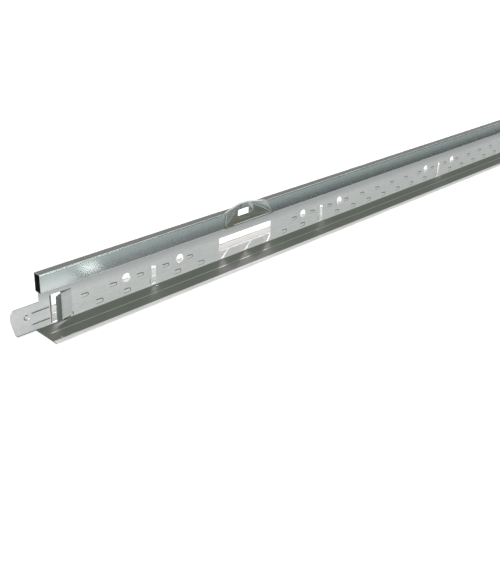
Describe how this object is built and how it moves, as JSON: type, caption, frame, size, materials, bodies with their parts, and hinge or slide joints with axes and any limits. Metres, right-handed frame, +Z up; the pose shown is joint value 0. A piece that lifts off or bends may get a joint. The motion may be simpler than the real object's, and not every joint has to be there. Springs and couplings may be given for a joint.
{
  "type": "ceiling grid tee",
  "caption": "Main tee of a suspended ceiling grid: hollow rectangular bulb, doubled web with cross tee slots and splice ends, wide flange with a white painted hemmed face.",
  "frame": {"origin": "mid-length, on the underside of the painted face", "axes": "+X along the tee, +Y across the face, +Z up from the face to the bulb"},
  "size_m": [3.6854, 0.0382, 0.0322],
  "materials": {
    "galvanised_steel": "galvanised, fine matt spangle",
    "white_paint": "satin white coil paint"
  },
  "bodies": {
    "root": {"tee_body": "galvanised_steel", "face_cap": "white_paint"}
  },
  "joints": []
}
